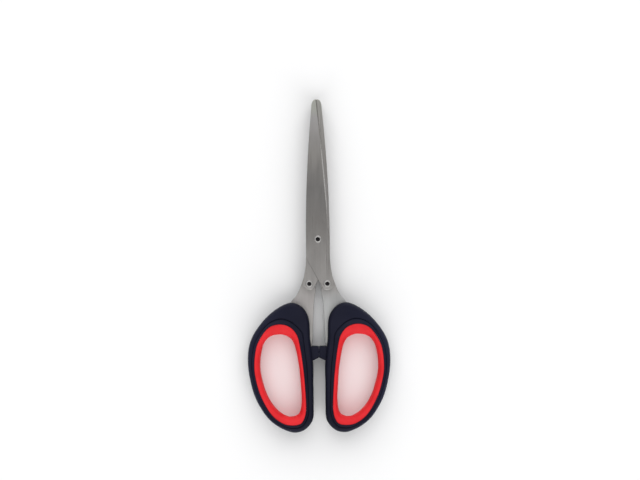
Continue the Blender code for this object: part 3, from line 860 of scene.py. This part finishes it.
# Polypropylene, moulded against spark-eroded steel: navy black and satin, with painted shade that
# darkens it towards the inner sides, where the two handles face each other
polypropylene = moulded("mouldedPolypropylene", {
    "grain": 0.35, "cloud": 14, "depth": 0.012,
    "roughness": (0.56, 0.68), "ior": 1.49, "specular": 0.14,
    "dark": "#191b2f", "light": "#1e2034",
    "tones": ((4, "#c6c2c4"), (13, "#cccacc"), (21, "#cecfd6"), (30, "#e8e6e8"), (40, "#ffffff")),
})

for side in sides:
    node = f"{side}_handle"
    mesh = handleMesh(node)
    mesh.transform(sidePlace(side, *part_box(node), fromMiddle=True))
    addMaterials(mesh, [polypropylene])
    newPiece(f"{side}_handleMoulding", mesh, bodyOf[side], [node])
print("handles made")

# Finger grips: soft rings snapped into the handles, rounded towards the finger hole

grip = {
    "gap": 0.1 * mm,
    "rimRound": 0.3 * mm,
    "rimSteps": 4,
    "crease": 60,  # degrees
    "hole": (
        (0.504, 0.756), (0.624, 0.747), (0.707, 0.720), (0.775, 0.658), (0.814, 0.514),
        (0.773, 0.383), (0.680, 0.257), (0.539, 0.163), (0.370, 0.117), (0.227, 0.141),
        (0.185, 0.237), (0.197, 0.381), (0.218, 0.504), (0.275, 0.658), (0.332, 0.719),
        (0.419, 0.747),
    ),
    # Section from the rim to the hole: shares of the width and of the half height
    "section": (
        (0.10, 1.0), (0.22, 0.998), (0.36, 0.985), (0.50, 0.955), (0.63, 0.905), (0.74, 0.83),
        (0.83, 0.74), (0.90, 0.63), (0.95, 0.51), (0.98, 0.40), (1.0, 0.27),
    ),
}


def gripMesh(name):
    seat, hole = handleLoop(handle["seat"]), handleLoop(grip["hole"])
    rim = movedIn(seat, [grip["gap"]] * len(seat))
    top = handleHalf - handle["dishDepth"]
    rows = []
    for i in range(grip["rimSteps"]):
        angle = math.pi / 2 * i / grip["rimSteps"]
        inset = grip["rimRound"] * (1 - math.cos(angle))
        height = top - grip["rimRound"] * (1 - math.sin(angle))
        rows.append((movedIn(rim, [inset] * len(rim)), height))
    for across, up in grip["section"]:
        rows.append(([a.lerp(b, across) for a, b in zip(rim, hole)], top * up))
    mesh = loft(name, [level(loop, height) for loop, height in ringRows(rows)], closed=True)
    return creased(mesh, grip["crease"])


# Thermoplastic rubber, moulded: bright red, soft satin, a little mottled where it flowed
rubber = moulded("mouldedThermoplasticRubber", {
    "grain": 0.4, "cloud": 9, "depth": 0.015,
    "roughness": (0.56, 0.68), "ior": 1.5, "specular": 0.25,
    "dark": "#d81e26", "light": "#e1262d",
})

for side in sides:
    node = f"{side}_finger_grip"
    mesh = gripMesh(node)
    mesh.transform(sidePlace(side, *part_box(node), fromMiddle=True))
    addMaterials(mesh, [rubber])
    newPiece(f"{side}_gripRing", mesh, bodyOf[side], [node])
print("grips made")

# Floor, light and camera

stage = {
    "halfSize": 6,  # metres
    "drop": 0.02 * mm,  # keeps the floor off the lowest faces
    "colour": "#f6f6f6",
    "roughness": 0.9,
    "ceiling": "#b6b6b7",  # dull, with the camera in it
    "sideWalls": "#98989a",
    "endWalls": "#e6e6e5",
    "wallTop": (0.55, 0.9),  # heights in the sky over which the walls fade into the ceiling
    "wallEnds": (0.45, 0.95),  # shares along Y over which the side walls fade into the end walls
}


def addFloor():
    # Pale matt paper, with no sheen of its own. Seen from below it is clear, to show the underside
    size = stage["halfSize"]
    corners = [(-size, -size, 0), (size, -size, 0), (size, size, 0), (-size, size, 0)]
    mesh = bpy.data.meshes.new("floor")
    mesh.from_pydata(corners, [], [(0, 1, 2, 3)])
    floor = bpy.data.objects.new("floor", mesh)
    bpy.context.scene.collection.objects.link(floor)
    material, tree, shader = newMaterial("paleMattPaper")
    setInputs(tree, shader, {
        "Base Color": colour(stage["colour"]), "Roughness": stage["roughness"],
    })
    clear = addNode(tree, "ShaderNodeBsdfTransparent")
    side = addNode(tree, "ShaderNodeNewGeometry")
    mixed = addNode(tree, "ShaderNodeMixShader", {
        0: side.outputs["Backfacing"], 1: shader.outputs[0], 2: clear.outputs[0],
    })
    tree.links.new(mixed.outputs[0], tree.nodes["Material Output"].inputs["Surface"])
    mesh.materials.append(material)
    floor.location.z = cadLow.z - stage["drop"]
    floor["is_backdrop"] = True


# Large soft sources: degrees off the zenith, degrees clockwise from +Y, strength, degrees wide
lamps = {
    "windowAbove": (56, 3, 1.73, 80),
    "bounceBelow": (56, 173, 1.83, 80),
}


def addLamps():
    for name, (tilt, compass, strength, width) in lamps.items():
        data = bpy.data.lights.new(name, "SUN")
        data.energy = strength
        data.angle = math.radians(width)
        lamp = bpy.data.objects.new(name, data)
        bpy.context.scene.collection.objects.link(lamp)
        tilt, compass = math.radians(tilt), math.radians(compass)
        ground = math.sin(tilt)
        towards = Vector((ground * math.sin(compass), ground * math.cos(compass), math.cos(tilt)))
        lamp.rotation_euler = towards.to_track_quat("Z", "Y").to_euler()


def faded(tree, value, span, first, second):
    # The first colour, which gives way to the second over the span
    share = addNode(tree, "ShaderNodeMapRange", {
        "Value": value, "From Min": span[0], "From Max": span[1], "To Min": 0, "To Max": 1,
    }, interpolation_type="SMOOTHSTEP")
    mix = addNode(tree, "ShaderNodeMix", {
        "Factor": share.outputs[0], "A": first, "B": second,
    }, data_type="RGBA")
    return mix.outputs["Result"]


def addWorld():
    # A pale room: what the steel mirrors
    world = bpy.data.worlds.new("studio")
    world.use_nodes = True
    tree = world.node_tree
    direction = addNode(tree, "ShaderNodeTexCoord").outputs["Generated"]
    xyz = addNode(tree, "ShaderNodeSeparateXYZ", {"Vector": direction})
    along = addNode(tree, "ShaderNodeMath", {0: xyz.outputs["Y"]}, operation="ABSOLUTE")
    sideWalls, endWalls = colour(stage["sideWalls"]), colour(stage["endWalls"])
    walls = faded(tree, along.outputs[0], stage["wallEnds"], sideWalls, endWalls)
    room = faded(tree, xyz.outputs["Z"], stage["wallTop"], walls, colour(stage["ceiling"]))
    tree.links.new(room, tree.nodes["Background"].inputs["Color"])
    bpy.context.scene.world = world


view = {  # the photograph: straight down, the object rolled a little
    "lens": 90,  # mm, as the sensor
    "sensor": 36,
    "pixelsPerMm": 1.643,
    "imageWidth": 640,
    "imageHeight": 480,
    "pivotPixel": (317.85, 239.2),
    "roll": math.radians(0.6),
    "planeHeight": 13 * mm,  # the height at which the scale holds
}


def addCamera():
    data = bpy.data.cameras.new("photograph")
    data.lens, data.sensor_width = view["lens"], view["sensor"]
    camera = bpy.data.objects.new("photograph", data)
    bpy.context.scene.collection.objects.link(camera)
    scale = view["pixelsPerMm"] / mm
    right = (view["imageWidth"] / 2 - view["pivotPixel"][0]) / scale
    up = (view["pivotPixel"][1] - view["imageHeight"] / 2) / scale
    turn = Matrix.Rotation(-view["roll"], 3, "Z")
    distance = view["imageWidth"] / scale * view["lens"] / view["sensor"]
    camera.location = turn @ Vector((right, up, 0)) + Vector((0, 0, view["planeHeight"] + distance))
    camera.rotation_euler = turn.to_euler()
    bpy.context.scene.camera = camera


addFloor()
addLamps()
addWorld()
addCamera()
bpy.context.scene.view_settings.view_transform = "Standard"
print("stage set")

low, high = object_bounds()
